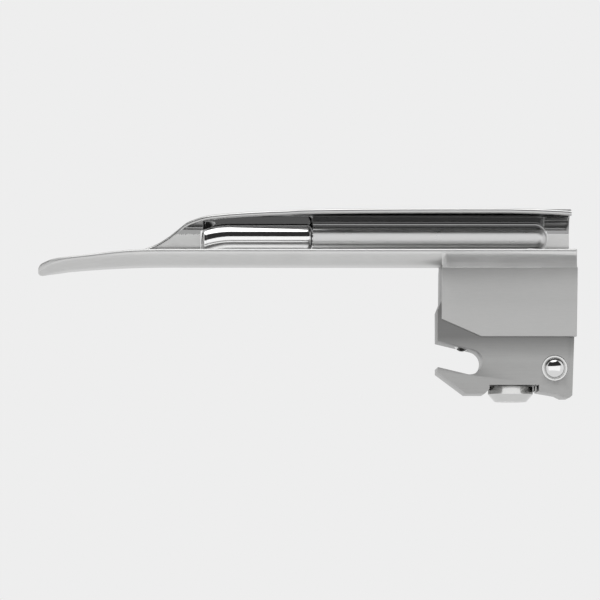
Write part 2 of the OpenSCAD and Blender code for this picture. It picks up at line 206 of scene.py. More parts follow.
def prism(outline, y0, y1):
    """An XZ outline drawn out along Y."""
    return loft([[(x, y, z) for x, z in outline] for y in (y0, y1)])


def sweep(places, radius, sides=32):
    """A round rod along places, each a centre and two directions across."""
    turn = np.linspace(0, 2 * math.pi, sides, endpoint=False)
    return loft([[c + radius * (math.cos(a) * u + math.sin(a) * v) for a in turn]
                 for c, u, v in places])


def lathe(profile, origin, axis, sides=72):
    """A closed (radius, height) profile turned round an axis."""
    w = np.array(axis, float)
    u = np.cross(w, [0.3, 0.5, 0.8])
    u /= np.linalg.norm(u)
    v = np.cross(w, u)
    turn = np.linspace(0, 2 * math.pi, sides, endpoint=False)
    return loft([[np.array(origin) + r * (math.cos(a) * u + math.sin(a) * v) + h * w
                  for r, h in profile] for a in turn], wrap=True)


def arc(cx, cy, r, a0, a1, steps):
    """Points of an arc, angles in degrees."""
    return [(cx + r * math.cos(math.radians(a)), cy + r * math.sin(math.radians(a)))
            for a in np.linspace(a0, a1, steps + 1)]


def place(obj, body, slot, *nodes):
    """The object rides on a body and stands for these CAD nodes, which it hides. The slot is not
    used.
    """
    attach(obj, body)
    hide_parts(*nodes)
    return obj


# ---- Materials ----
def nodes_of(material):
    """A material's node tree, and short names for adding and linking its nodes."""
    tree = material.node_tree
    return tree, tree.nodes.new, tree.links.new


GRAIN_SHARE, CLOUD_SHARE = 0.55, 0.45   # parts of the tone's unevenness
CLOUD_SCALE = 0.16                      # broad patches, about 6 mm
SCRATCH_SCALE = 0.9
SCRATCH_FROM, SCRATCH_TO = 0.62, 0.68   # only the crests of that noise are scratches
BUMP_MM = 0.05


def metal(name, colour, rough, spread=0.06, grain=(1, 1, 1), grain_scale=2.0, bump=0.04,
          tone=0.06, scratches=0.0, painted_light_and_shade=()):
    """A steel with a grain stretched along one axis, uneven tone, and fine scratches. Spread is how
    much the roughness varies. The row of (height in mm, share of the colour there) paints light
    and shade into the colour by height: a share below 1 is painted shade, above 1 painted light."""
    m = bpy.data.materials.new(name)
    m.use_nodes = True
    tree, new, link = nodes_of(m)
    shader = tree.nodes["Principled BSDF"]
    shader.inputs["Metallic"].default_value = 1.0
    where = new("ShaderNodeTexCoord").outputs["Object"]

    def noise(scale, stretch, detail=6.0, grit=0.6):
        """A noise in the object's own millimetres, denser by stretch along each axis."""
        mapping = new("ShaderNodeMapping")
        mapping.inputs["Scale"].default_value = [s / MM for s in stretch]
        link(where, mapping.inputs["Vector"])
        n = new("ShaderNodeTexNoise")
        n.inputs["Scale"].default_value = scale
        n.inputs["Detail"].default_value = detail
        n.inputs["Roughness"].default_value = grit
        link(mapping.outputs["Vector"], n.inputs["Vector"])
        return n.outputs["Fac"]

    def spread_to(value, low, high, start=0.3, end=0.7):
        """The value from start to end, spread over low to high."""
        r = new("ShaderNodeMapRange")
        for key, v in zip(("From Min", "From Max", "To Min", "To Max"), (start, end, low, high)):
            r.inputs[key].default_value = v
        link(value, r.inputs["Value"])
        return r.outputs["Result"]

    fine, cloud = noise(grain_scale, grain), noise(CLOUD_SCALE, (1, 1, 1), 3.0)
    mix = new("ShaderNodeMix")
    mix.data_type = "RGBA"
    mix.inputs["A"].default_value = [*[c * (1 - tone) for c in colour], 1]
    mix.inputs["B"].default_value = [*[min(1, c * (1 + tone)) for c in colour], 1]
    both = new("ShaderNodeMath")
    both.operation = "ADD"
    link(spread_to(fine, 0.0, GRAIN_SHARE), both.inputs[0])
    link(spread_to(cloud, 0.0, CLOUD_SHARE), both.inputs[1])
    link(both.outputs[0], mix.inputs["Factor"])
    tint = mix.outputs["Result"]
    # Painted light and shade: the colour is scaled by the share given for each height.
    if painted_light_and_shade:
        split = new("ShaderNodeSeparateXYZ")
        link(where, split.inputs["Vector"])
        for (z0, share0), (z1, share1) in zip(painted_light_and_shade, painted_light_and_shade[1:]):
            part = new("ShaderNodeVectorMath")
            part.operation = "SCALE"
            share = spread_to(split.outputs["Z"], share0, share1, z0 * MM, z1 * MM)
            link(tint, part.inputs["Vector"])
            link(share, part.inputs["Scale"])
            tint = part.outputs["Vector"]
    link(tint, shader.inputs["Base Color"])
    link(spread_to(both.outputs[0], max(0.02, rough - spread), rough + spread, 0, 1),
         shader.inputs["Roughness"])
    height = fine
    if scratches:
        wave = noise(SCRATCH_SCALE, (grain[0] * 0.35, grain[1] * 3.0, grain[2] * 3.0), 2.0, 0.4)
        line = new("ShaderNodeMath")
        line.operation = "MULTIPLY_ADD"
        link(spread_to(wave, 0.0, scratches, SCRATCH_FROM, SCRATCH_TO), line.inputs[0])
        line.inputs[1].default_value = -1.0
        link(fine, line.inputs[2])
        height = line.outputs[0]
    bumper = new("ShaderNodeBump")
    bumper.inputs["Strength"].default_value = bump
    bumper.inputs["Distance"].default_value = BUMP_MM * MM
    link(height, bumper.inputs["Height"])
    link(bumper.outputs["Normal"], shader.inputs["Normal"])
    return m


def clear_stuff(name, colour, rough, transmission, ior=1.5, fleck=2.5, depth=0.08):
    """Glass, resin or fibre ends, with flecks in the colour and a faint surface."""
    m = metal(name, colour, rough, 0.02, grain_scale=fleck, bump=depth, tone=0.1)
    shader = m.node_tree.nodes["Principled BSDF"]
    shader.inputs["Metallic"].default_value = 0.0
    shader.inputs["Transmission Weight"].default_value = transmission
    shader.inputs["IOR"].default_value = ior
    return m


def grey(value):
    """A grey as a colour."""
    return value, value, value


satin = metal("satin_steel", (0.62, 0.62, 0.615), 0.34, spread=0.05, grain=(0.25, 2, 2),
              grain_scale=2.2, bump=0.08, tone=0.05, scratches=0.1)
# Polished steel with painted shade: its colour is darker than the satin's, and it goes on the head
# of the channel and on the ridge's top.
channel = metal("channel_steel", grey(0.30), 0.06, spread=0.02, grain=(0.08, 1, 1),
                grain_scale=1.2, bump=0.02, tone=0.03)
# The tongue has painted shade: its colour falls to half from 0.3 mm up to 4.7 mm, the cover plates'
# lower edge, and stays at half above.
brushed = metal("brushed_steel", (0.37, 0.37, 0.366), 0.36, spread=0.08, grain=(0.06, 3, 6),
                bump=0.25, tone=0.10, scratches=0.15, painted_light_and_shade=((0.3, 1.0), (4.7, 0.5)))
edge_satin = metal("edge_satin", (0.68, 0.68, 0.675), 0.52, spread=0.05, grain=(0.25, 2, 2),
                   grain_scale=2.2, bump=0.06, tone=0.05)
# The cover plates have painted light: their colour rises by a quarter from 11.5 mm up to 17.8 mm,
# towards their tops.
plate_steel = metal("plate_steel", (0.43, 0.43, 0.426), 0.34, spread=0.05, grain=(0.3, 2, 2.5),
                    bump=0.06, tone=0.05, scratches=0.05, painted_light_and_shade=((11.5, 1.0), (17.8, 1.25)))
turned = metal("turned_steel", (0.66, 0.66, 0.655), 0.22, spread=0.05, grain=(1, 1, 8),
               bump=0.06, tone=0.04)
tube_steel = metal("tube_steel", grey(0.68), 0.18, spread=0.05, grain=(0.3, 2, 2),
                   bump=0.05, tone=0.04, scratches=0.2)
mirror = metal("ball_steel", grey(0.80), 0.04, spread=0.02, grain_scale=1.2, bump=0.01, tone=0.02)
sleeve_steel = metal("sleeve_steel", grey(0.82), 0.09, spread=0.03, grain=(0.3, 2, 2),
                     grain_scale=1.4, bump=0.03, tone=0.02)
ridge_steel = metal("ridge_steel", grey(0.62), 0.30, spread=0.04, grain=(0.2, 2, 2),
                    grain_scale=1.8, bump=0.05, tone=0.04)
spring = metal("spring_steel", (0.50, 0.50, 0.49), 0.28, spread=0.05, grain_scale=3.0,
               bump=0.08, tone=0.08)
glass = clear_stuff("optical_glass", (0.90, 0.93, 0.93), 0.05, 0.9)
resin = clear_stuff("resin", (0.55, 0.40, 0.18), 0.28, 0.15)
fibre = clear_stuff("glass_fibre", (0.86, 0.84, 0.76), 0.30, 0.2, fleck=9.0, depth=0.3)


# ---- Blade shell: the section of the sheet, finely stepped, with rounded edges ----
# Heights of the near lip and of the trimmed web over the floor, as [x, height]
NEAR_LIP = smooth_through([
    [TIP_X, 0.35], [-80.7, 0.7], [-78.9, 1.2], [-76.2, 1.5], [-71.4, 1.65], [-66.4, 1.93],
    [-62.6, 2.05], [HEEL_X, 2.06]])
WEB_EDGE = smooth_through([
    [TIP_X, 0.35], [-80.7, 0.6], [-78.9, 1], [-76.2, 1.3], [-71.4, 1.5], [-66.4, 1.9],
    [-62.6, 2.65], [-59.9, 3.5], [-57.1, 5.1], [-55, 6.75], [-53.4, 7.95], [-52, 8.5],
    [-49.6, 9.15], [-42.8, 9.75], [-36, 10.03], [-30, 10.15], [-20, 10.2], [HEEL_X, 10.2]])
FLANGE_START, DROOP_START, SWELL_START = -34, 8, -76
# Share of the flange's flat part, its droop in degrees, and what the tip adds to half the thickness
FLANGE_GROW = smooth_through([[FLANGE_START, 0], [-24, 0.55], [-10, 0.9], [5, 1], [HEEL_X, 1]])
FLANGE_DROOP = smooth_through([[DROOP_START, 0], [14, 3], [HEEL_X, 9]])
TIP_SWELL = smooth_through([[-80.5, 0.3], [SWELL_START, 0]])
NEAR_N, WEB_N, CAP_N = 22, 64, 8    # steps along the near side, the web side and a rounded edge
NO_WALL = 20                        # a wall that the near lip never reaches the end of
TIP_BEND_SHARE = 0.85               # most of the half width that a bend takes up at the tip


def floor_mid(x):
    """Height of the middle of the sheet at the floor."""
    return MID_FLOOR - (min(0.0, x - TIP_CURVE_X) ** 2) / (2 * TIP_CURVE_R)


def half_thick(x):
    """Half the sheet's thickness, rounded off at the nose and at the heel."""
    into_nose = max(0.0, NOSE + TIP_X - x) / NOSE
    at_heel = max(0.0, EDGE_R - (HEEL_X - x)) / EDGE_R
    swell = TIP_SWELL(x) if x < SWELL_START else 0.0
    return ((HALF_T + swell) * math.sqrt(max(0.01, 1 - into_nose ** 2))
            - EDGE_R * (1 - math.sqrt(max(0.0, 1 - at_heel ** 2))))


def tip_share(x):
    """Share of the width that the rounded tip leaves."""
    into = max(0.0, TIP_X + TIP_ROUND - x) / TIP_ROUND
    return math.sqrt(max(0.004, 1 - into ** 2.2))


def near_mid(x):
    """How far out the middle of the near lip is."""
    return NEAR_HALF_W - HALF_T - NEAR_TAPER * (HEEL_X - x) / (HEEL_X - TIP_X)


def near_blank(x):
    """Flat part, bend radius and whole length of the near side, which the rounded tip narrows."""
    half = near_mid(x) * tip_share(x)
    r = min(NEAR_R, TIP_BEND_SHARE * half)
    return half - r, r, half - r + r * math.acos(max(-0.2, 1 - min(NEAR_LIP(x), r) / r))


def web_blank(x):
    """Flat part, bend radius and whole length of the web side."""
    half = (WEB_FLAT + WEB_R) * tip_share(x)
    r = min(WEB_R, TIP_BEND_SHARE * half)
    flat, h, top, quarter = half - r, WEB_EDGE(x), r + WEB_WALL, r * math.pi / 2
    if h <= r:
        return flat, r, flat + r * math.acos(1 - h / r)
    if h <= top:
        return flat, r, flat + quarter + h - r
    return flat, r, (flat + quarter + WEB_WALL + r * math.asin(min(1, (h - top) / r))
                     + FLANGE_LEN * (FLANGE_GROW(x) if x > FLANGE_START else 0))


def bend_path(s, flat, r, wall, droop):
    """A point of the middle of the sheet: distance out, height, heading in radians."""
    quarter = r * math.pi / 2
    s1, s2, s3 = s - flat, s - flat - quarter, s - flat - quarter - wall
    s4 = s3 - quarter
    if s1 <= 0:
        return s, 0.0, 0.0
    if s2 <= 0:
        a = s1 / r
        return flat + r * math.sin(a), r * (1 - math.cos(a)), a
    if s3 <= 0:
        return flat + r, r + s2, math.pi / 2
    if s4 <= 0:
        a = s3 / r
        return flat + r * math.cos(a), r + wall + r * math.sin(a), math.pi / 2 + a
    return (flat - s4, 2 * r + wall - s4 * s4 * math.tan(droop) / FLANGE_LEN,
            math.pi + droop * s4 / FLANGE_LEN)


def sheet_ring(x):
    """The outline of the sheet's cross-section at x, outer face first."""
    t, z0 = half_thick(x), floor_mid(x)
    droop = math.radians(FLANGE_DROOP(x)) if x > DROOP_START else 0.0
    near_flat, near_r, near_whole = near_blank(x)
    web_flat, web_r, web_whole = web_blank(x)
    near = [bend_path(near_whole * j / NEAR_N, near_flat, near_r, NO_WALL, 0)
            for j in range(NEAR_N + 1)]
    web = [bend_path(web_whole * j / WEB_N, web_flat, web_r, WEB_WALL, droop)
           for j in range(WEB_N + 1)]

    def face(p, side, way):
        """A point on the outer (side 1) or inner (-1) face. Way is 1 on the web's side."""
        return x, way * (p[0] + side * t * math.sin(p[2])), z0 + p[1] - side * t * math.cos(p[2])

    def rim(p, way):
        """The rounded edge of the sheet, from its outer face to its inner face."""
        return [(x, way * (p[0] + t * math.sin(p[2] + a)), z0 + p[1] - t * math.cos(p[2] + a))
                for a in np.linspace(0, math.pi, CAP_N + 2)[1:-1]]
    return ([face(p, 1, -1) for p in near[:0:-1]] + [face(p, 1, 1) for p in web] + rim(web[-1], 1)
            + [face(p, -1, 1) for p in web[::-1]] + [face(p, -1, -1) for p in near[1:]]
            + rim(near[-1], -1)[::-1])


SATIN, POLISHED_SHADED, PALE = range(3)    # places of the shell's materials
SHADED_POLISH_START = 0.15                  # how far round the web's upper bend the polish and its painted shade start


def shell_material(k):
    """The head of the channel is polished and painted darker as shade, the near lip's rim is pale,
    and the rest is satin.
    """
    if k % RING_N >= RING_N - CAP_N - 2:
        return PALE
    j = NEAR_N + 2 * WEB_N + CAP_N + 1 - k % RING_N
    if not 0 <= j <= WEB_N:
        return SATIN
    flat, r, whole = web_blank(stations[min(k // RING_N, len(stations) - 1)])
    head = flat + r * math.pi / 2 + WEB_WALL + SHADED_POLISH_START
    return POLISHED_SHADED if whole * j / WEB_N > head else SATIN


# Cross-sections from the heel to the tip, closer together at the web's slope and at both ends
stations = ([HEEL_X - EDGE_R * (1 - math.cos(a)) for a in np.linspace(0, math.pi / 2, 5)]
            + list(np.linspace(HEEL_X - 0.8, -50, 110)) + list(np.linspace(-50.4, TIP_X + 2.2, 76))
            + [TIP_X + 2 * (1 - math.sin(a)) + 0.004 for a in np.linspace(0.05, math.pi / 2, 16)])
rings = [sheet_ring(x) for x in stations]
RING_N = len(rings[0])


def dip_outline(r_in, r_out, x_end, steps):
    """The sleeve's dip: the side above it from its front, and the side below it to its front."""
    def at(r, share):
        """A point of the side of that radius."""
        a = share * math.asin((TIP_BEND_X - x_end) / r)
        return TIP_BEND_X - r * math.sin(a), GUIDE_Z - TIP_BEND_R + r * math.cos(a)
    shares = np.linspace(0, 1, steps)
    return [at(r_out, s) for s in shares[::-1]], [at(r_in, s) for s in shares]


GAP = SLEEVE_R + CLEAR
SHOULDER = 1.0                      # rounding of the sleeve's rear end
over, under = dip_outline(TIP_BEND_R - GAP, TIP_BEND_R + GAP, FACE_X - 0.4, 12)
SLOT = TUBE_R + CLEAR / 2
STEP_X = RUN_START + SHOULDER + 0.2  # where the window ends and the tube's slot starts
SLOT_FOOT = FLOOR_Z - 3
opening = (over + arc(RUN_START, GUIDE_Z + SLEEVE_R - SHOULDER, SHOULDER + CLEAR, 90, 2, 8)
           + [(STEP_X, GUIDE_Z + SLOT)]
           + arc(RUN_END, BEND_Z, BEND_R + SLOT, 90, 0, 14)
           + [(DROP_X + SLOT, SLOT_FOOT), (DROP_X - SLOT, SLOT_FOOT)]
           + arc(RUN_END, BEND_Z, BEND_R - SLOT, 0, 90, 14)
           + [(STEP_X, GUIDE_Z - SLOT)]
           + arc(RUN_START, GUIDE_Z - SLEEVE_R + SHOULDER, SHOULDER + CLEAR, -2, -90, 8) + under)
NOTCH_X, NOTCH_Z = HEEL_X - 0.6, FLOOR_Z + 3.2  # the web and flange stop short of the heel end
PAST_HEEL, PAST_TOP = HEEL_X + 5, 40
heel_notch = [(NOTCH_X, NOTCH_Z), (PAST_HEEL, NOTCH_Z), (PAST_HEEL, PAST_TOP),
              (NOTCH_X, PAST_TOP)]
shell = make("shell", loft(rings), [satin, channel, edge_satin], face_material=shell_material)
cut(shell, prism(opening, GUIDE_Y - 0.5, 14), prism(heel_notch, -5, 12))
place(shell, "blade", "satin_steel", "blade_shell")


# ---- Weld fillets between the bends of the sheet and the cover plates ----
WELD_ANGLE = math.radians(12)       # where the fillet leaves the bend, below its centre
WELD_PULL = 0.7                     # how far it follows the bend
SUNK = 0.03                         # how far it goes into what it meets


def weld(name, way, centre, r, x0, x1, fade=1.2):
    """A shallow fillet from the outside of a bend down over the top of a cover plate. The bend's
    centre is (y, z), way is 1 on the web's side, and the fillet fades in from x0."""
    sin_a, cos_a = math.sin(WELD_ANGLE), math.cos(WELD_ANGLE)
    top = np.array([centre[0] + r * cos_a, centre[1] - r * sin_a])
    pull = top - WELD_PULL * np.array([sin_a, cos_a])
    foot = np.array([-cover_low[1] - SUNK, cover_high[2] - 0.1])
    curve = [(1 - t) ** 2 * top + 2 * t * (1 - t) * pull + t * t * foot
             for t in np.linspace(0, 1, 14)]
    # The surface that the fillet lies on: the bend, or the block under it
    under = [max(block_high[1] - SUNK,
                 centre[0] - 0.04 + math.sqrt(max(0.0, r * r - (centre[1] - z) ** 2)))
             for _, z in curve]
    back = block_high[1] - 0.3
    rows = []
    for x in [*np.linspace(x0, x0 + fade, 12), x1 - 0.2, x1 - 0.05, x1]:
        share = min(1.0, (x - x0) / fade) ** 2
        share = share * (3 - 2 * share) * (0.96 if x == x1 else 1.0)
        face = [(low + (y - low) * share, z) for (y, z), low in zip(curve, under)]
        section = face + [(back, foot[1] - 0.02), (back, top[1])]
        rows.append([(x, way * y, z) for y, z in section])
    piece = make(name, loft(rows), edge_satin)
    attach(piece, "blade")


near_bend = (near_mid(8) - NEAR_R, MID_FLOOR + NEAR_R)
web_bend = (WEB_FLAT, MID_FLOOR + WEB_R)
WELD_X0, WELD_X1 = cover_low[0] + 0.1, HEEL_X - 0.1
GROOVE_HALF = 2.1                   # half of the gap between the two plates of the far side
weld("weld_right", -1, near_bend, NEAR_R + HALF_T, WELD_X0, WELD_X1)
weld("weld_left_front", 1, web_bend, WEB_R + HALF_T, WELD_X0, DROP_X - GROOVE_HALF)
weld("weld_left_rear", 1, web_bend, WEB_R + HALF_T, DROP_X + GROOVE_HALF, WELD_X1, 0.4)


# ---- Channel ridge: a half-tunnel on the web, filleted into it, with a domed end ----
BEND_IN = WEB_R - HALF_T
RIDGE_FILLET = 0.5
CROWN = 0.68                        # 1 is a round crown, and less is flatter with rounder corners
CROWN_TILT = 0.07                   # how much the crown leans as it goes up
GROOVE_R = TUBE_R + CLEAR
GROOVE_BACK = 6.0                   # how far out the groove's straight sides go
RIDGE_TOP = GUIDE_Z + 0.62 * RIDGE_R  # the ridge is polished and painted darker as shade above this height
BOSS_R = 2.3


def web_face(z):
    """How far out the web's inner face is at a height."""
    low, high = MID_FLOOR + WEB_R, MID_FLOOR + WEB_R + WEB_WALL
    off = max(low - z, z - high, 0.0)
    return WEB_FLAT + math.sqrt(max(0.05, BEND_IN ** 2 - off ** 2))


def ridge_profile(theta):
    """(distance across, y) from the crown of the ridge down into the web, looking along theta."""
    d_c = RIDGE_R + RIDGE_FILLET
    ds = np.linspace(RIDGE_R, RIDGE_R + 1.6, 80)
    ys = np.array([web_face(GUIDE_Z + d * math.sin(theta)) for d in ds])
    low, high = 3.0, WEB_HALF_W
    for _ in range(30):
        y_c = (low + high) / 2
        near = np.hypot(ds - d_c, ys - y_c)
        touching = near.min() < RIDGE_FILLET or ys[near.argmin()] < y_c - 1
        low, high = (low, y_c) if touching else (y_c, high)
    k = int(near.argmin())
    stop = math.atan2(ds[k] - d_c, ys[k] - y_c)
    crown = [(RIDGE_R * math.sin(a) ** CROWN, GUIDE_Y - RIDGE_R * math.cos(a) ** CROWN)
             for a in np.linspace(0, math.pi / 2, 21)]
    fillet = [(d_c + RIDGE_FILLET * math.sin(a), y_c + RIDGE_FILLET * math.cos(a))
              for a in np.linspace(-math.pi / 2, stop, 9)]
    end_d, end_y = fillet[-1]
    return crown + fillet + [(end_d + 0.3 * math.sin(stop), end_y + 0.3 * math.cos(stop))]


def ridge():
    """The outer skin of the ridge, its open left end, and the groove that the guide lies in."""
    run = np.linspace(RIDGE_START, RIDGE_END, 40)
    columns = [(x, math.pi / 2) for x in run]
    columns += [(RIDGE_END, a) for a in np.linspace(math.pi / 2, -math.pi / 2, 33)[1:-1]]
    columns += [(x, -math.pi / 2) for x in run[::-1]]
    points, faces = [], []
    for x, theta in columns:
        points += [(x + d * math.cos(theta), y - CROWN_TILT * d * math.sin(theta),
                    GUIDE_Z + d * math.sin(theta)) for d, y in ridge_profile(theta)]
    n = len(points) // len(columns)
    faces += [(k * n + i, k * n + i + 1, (k + 1) * n + i + 1, (k + 1) * n + i)
              for k in range(len(columns) - 1) for i in range(n - 1)]
    turn = np.linspace(-math.pi / 2, math.pi / 2, 2 * n - 3)
    section = ([(-GROOVE_R, GROOVE_BACK)]
               + [(GROOVE_R * math.sin(a), GUIDE_Y - GROOVE_R * math.cos(a)) for a in turn]
               + [(GROOVE_R, GROOVE_BACK)])
    path = [((x, GUIDE_Z), (0, 1)) for x in (RIDGE_START, -10, RUN_END)]
    path += [((RUN_END + BEND_R * math.sin(a), BEND_Z + BEND_R * math.cos(a)),
              (math.sin(a), math.cos(a))) for a in np.linspace(0, math.pi / 2, 14)[1:]]
    path += [((DROP_X, FLOOR_Z + 0.6), (1, 0))]
    first, m = len(points), len(section)
    for (x, z), (ux, uz) in path:
        points += [(x + w * ux, y, z + w * uz) for w, y in section]
    faces += [(first + k * m + i, first + k * m + i + 1,
               first + (k + 1) * m + i + 1, first + (k + 1) * m + i)
              for k in range(len(path) - 1) for i in range(m - 1)]
    lower = [(len(columns) - 1) * n + i for i in range(n - 1, 0, -1)]
    rim = lower + list(range(n))
    faces += [(rim[i], rim[i + 1], first + i + 1, first + i) for i in range(min(len(rim), m) - 1)]
    return points, faces


ridge_shape = ridge()
# Ridge faces wholly above RIDGE_TOP take the darker polished steel: painted shade on the ridge's
# top.
above = [point[2] > RIDGE_TOP for point in ridge_shape[0]]
ridge_piece = make("channel_ridge", ridge_shape, [ridge_steel, channel], sharp=40,
                   face_material=lambda k: int(all(above[i] for i in ridge_shape[1][k])))
place(ridge_piece, "blade", "satin_steel", "light_channel")
boss = make("channel_boss", lathe(
    [(GROOVE_R, 0.6), (BOSS_R, 0.6), (BOSS_R, 2.6), (BOSS_R - 0.3, 3.2), (GROOVE_R, 3.4)],
    (DROP_X, GUIDE_Y, FLOOR_Z), (0, 0, 1), 48), ridge_steel)
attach(boss, "blade")


# ---- Light guide: pieces follow the sleeve's dip, and start at its turned front face ----
FACE_N = np.array([math.cos(FACE_TURN), math.sin(FACE_TURN), 0])
FACE_AT = np.array([FACE_X, GUIDE_Y, GUIDE_Z])
SIDES = 56
GUIDE_STEP = 0.8                    # longest step along the guide


def on_guide(s, r, phi):
    """A point r from the guide's centre line, s along it from where the dip starts."""
    a = max(0.0, -s) / TIP_BEND_R
    centre = np.array([TIP_BEND_X - TIP_BEND_R * math.sin(a) + max(0.0, s), GUIDE_Y,
                       GUIDE_Z - TIP_BEND_R * (1 - math.cos(a))])
    return centre + r * (math.cos(phi) * np.array([0, 1, 0])
                         + math.sin(phi) * np.array([-math.sin(a), 0, math.cos(a)]))


def behind_face(off, r, phi):
    """Where along the guide a line on it is off behind the front face."""
    low, high = -9.0, 0.0
    for _ in range(24):
        s = (low + high) / 2
        low, high = (s, high) if (on_guide(s, r, phi) - FACE_AT) @ FACE_N < off else (low, s)
    return s


def guide_solid(profile):
    """A solid of revolution along the guide. The profile's points are (kind, value, r): kind "off"
    is a distance behind the turned front face, and "at" a place along the guide."""
    loops = []
    counts = None
    for phi in np.linspace(0, 2 * math.pi, SIDES, endpoint=False):
        loop = [(behind_face(v, r, phi) if kind == "off" else v, r) for kind, v, r in profile]
        pairs = list(zip(loop, loop[1:] + loop[:1]))
        counts = counts or [max(1, round(abs(b[0] - a[0]) / GUIDE_STEP)) for a, b in pairs]
        loops.append([on_guide(a[0] + (b[0] - a[0]) * k / c, a[1] + (b[1] - a[1]) * k / c, phi)
                      for (a, b), c in zip(pairs, counts) for k in range(c)])
    return loft(loops, wrap=True)


END_S = RUN_START - TIP_BEND_X
RIM_R = 0.13                        # rounding of the ring's outer edge
RING_T = 0.5
BACK_S = END_S - 0.4                # inside of the sleeve's rear wall
GLASS_T = 0.9
LAP = 0.04                          # chamfer where ring and sleeve meet
shoulder_arc = [("at", END_S + SHOULDER * math.sin(a), SLEEVE_R - SHOULDER + SHOULDER * math.cos(a))
                for a in np.linspace(0, math.pi / 2, 10)]
sleeve = make("sleeve", guide_solid(
    [("off", RING_T, SLEEVE_IN), ("off", RING_T, SLEEVE_R - LAP), ("off", RING_T + LAP, SLEEVE_R),
     *shoulder_arc, ("at", END_S + SHOULDER, TUBE_R + 0.02), ("at", BACK_S, TUBE_R + 0.02),
     ("at", BACK_S, SLEEVE_IN)]), sleeve_steel)
place(sleeve, "light_guide", "polished_steel", "light_sleeve")
rim_arc = [("off", RIM_R * (1 - math.cos(a)), SLEEVE_R - RIM_R * (1 - math.sin(a)))
           for a in np.linspace(0, math.pi / 2, 6)]
sleeve_rim = make("sleeve_rim", guide_solid(
    [("off", RING_T, SLEEVE_IN), ("off", 0.08, SLEEVE_IN), ("off", 0, SLEEVE_IN + 0.08), *rim_arc,
     ("off", RING_T - 0.03, SLEEVE_R), ("off", RING_T, SLEEVE_R - LAP)]), sleeve_steel)
place(sleeve_rim, "light_guide", "polished_steel", "distal_ring")
window_glass = make("window_glass", guide_solid(
    [("off", GLASS_T, 0), ("off", GLASS_T, SLEEVE_IN), ("off", 0.14, SLEEVE_IN),
     ("off", 0.1, SLEEVE_IN - 0.05), ("off", 0.06, 1.4), ("off", 0.03, 0.7), ("off", 0.02, 0)]),
    glass)
place(window_glass, "light_guide", "optical_glass", "light_window")
sleeve_resin = make("sleeve_resin", guide_solid(
    [("off", GLASS_T + 0.02, BUNDLE_R), ("off", GLASS_T + 0.02, SLEEVE_IN),
     ("at", BACK_S, SLEEVE_IN), ("at", BACK_S, BUNDLE_R)]), resin)
place(sleeve_resin, "light_guide", "resin", "sleeve_potting")

# The route of the tube: straight run, bend down, and a set towards the port. The set is two bends
# of radius SET_R through SET_A, which bring the tube from the web's side to the mid-plane.
SET_TOP, SET_R, SET_A = 17.4, 6.0, math.radians(40)
ACROSS = np.array([0, 1, 0])
set_dir = np.array([PORT_X - DROP_X, -GUIDE_Y, 0])
set_out = np.linalg.norm(set_dir)
set_dir /= set_out
set_side = np.cross([0, 0, 1], set_dir)
set_drop = (2 * SET_R * math.sin(SET_A)
            + (set_out - 2 * SET_R * (1 - math.cos(SET_A))) / math.tan(SET_A))


def run_place(x):
    """A place on the straight run."""
    return np.array([x, GUIDE_Y, GUIDE_Z]), ACROSS, np.array([0, 0, 1])


def bend_place(a):
    """A place on the bend after the run, turned a from the run."""
    up = np.array([math.sin(a), 0, math.cos(a)])
    return np.array([RUN_END, GUIDE_Y, BEND_Z]) + BEND_R * up, ACROSS, up


def set_place(end, way, a):
    """A place in the set, turned a from the vertical, way 1 from its top and -1 from its foot."""
    off = set_dir * SET_R * (1 - math.cos(a)) - np.array([0, 0, SET_R * math.sin(a)])
    ahead = set_dir * math.cos(a) + np.array([0, 0, math.sin(a)])
    return np.array(end) + way * off, set_side, ahead


def tube_route(starts, foot):
    """Places along the guide from the given ones to its foot at that height."""
    down = np.linspace(0, SET_A, 9)
    return (starts + [bend_place(a) for a in np.linspace(0, math.pi / 2, 15)]
            + [set_place((DROP_X, GUIDE_Y, SET_TOP), 1, a) for a in down]
            + [set_place((PORT_X, 0, SET_TOP - set_drop), -1, a) for a in down[::-1]]
            + [(np.array([PORT_X, 0, foot]), set_side, set_dir)])


tube = make("tube", sweep(tube_route([run_place(x) for x in np.linspace(-31, RUN_END - 1, 24)],
                                     tube_low[2]), TUBE_R, 40), tube_steel)
place(tube, "light_guide", "tube_steel", "bundle_tube")
dip_angle = -behind_face(GLASS_T + 0.05, 0, 0) / TIP_BEND_R
dip = [(on_guide(-TIP_BEND_R * a, 0, 0), ACROSS, np.array([-math.sin(a), 0, math.cos(a)]))
       for a in np.linspace(dip_angle, 0, 9)]
bundle_route = tube_route(dip + [run_place(-30)], PORT_Z + 0.6)
bundle = make("bundle", sweep(bundle_route, BUNDLE_R - 0.01, 32), fibre)
place(bundle, "light_guide", "glass_fibre", "fibre_bundle")

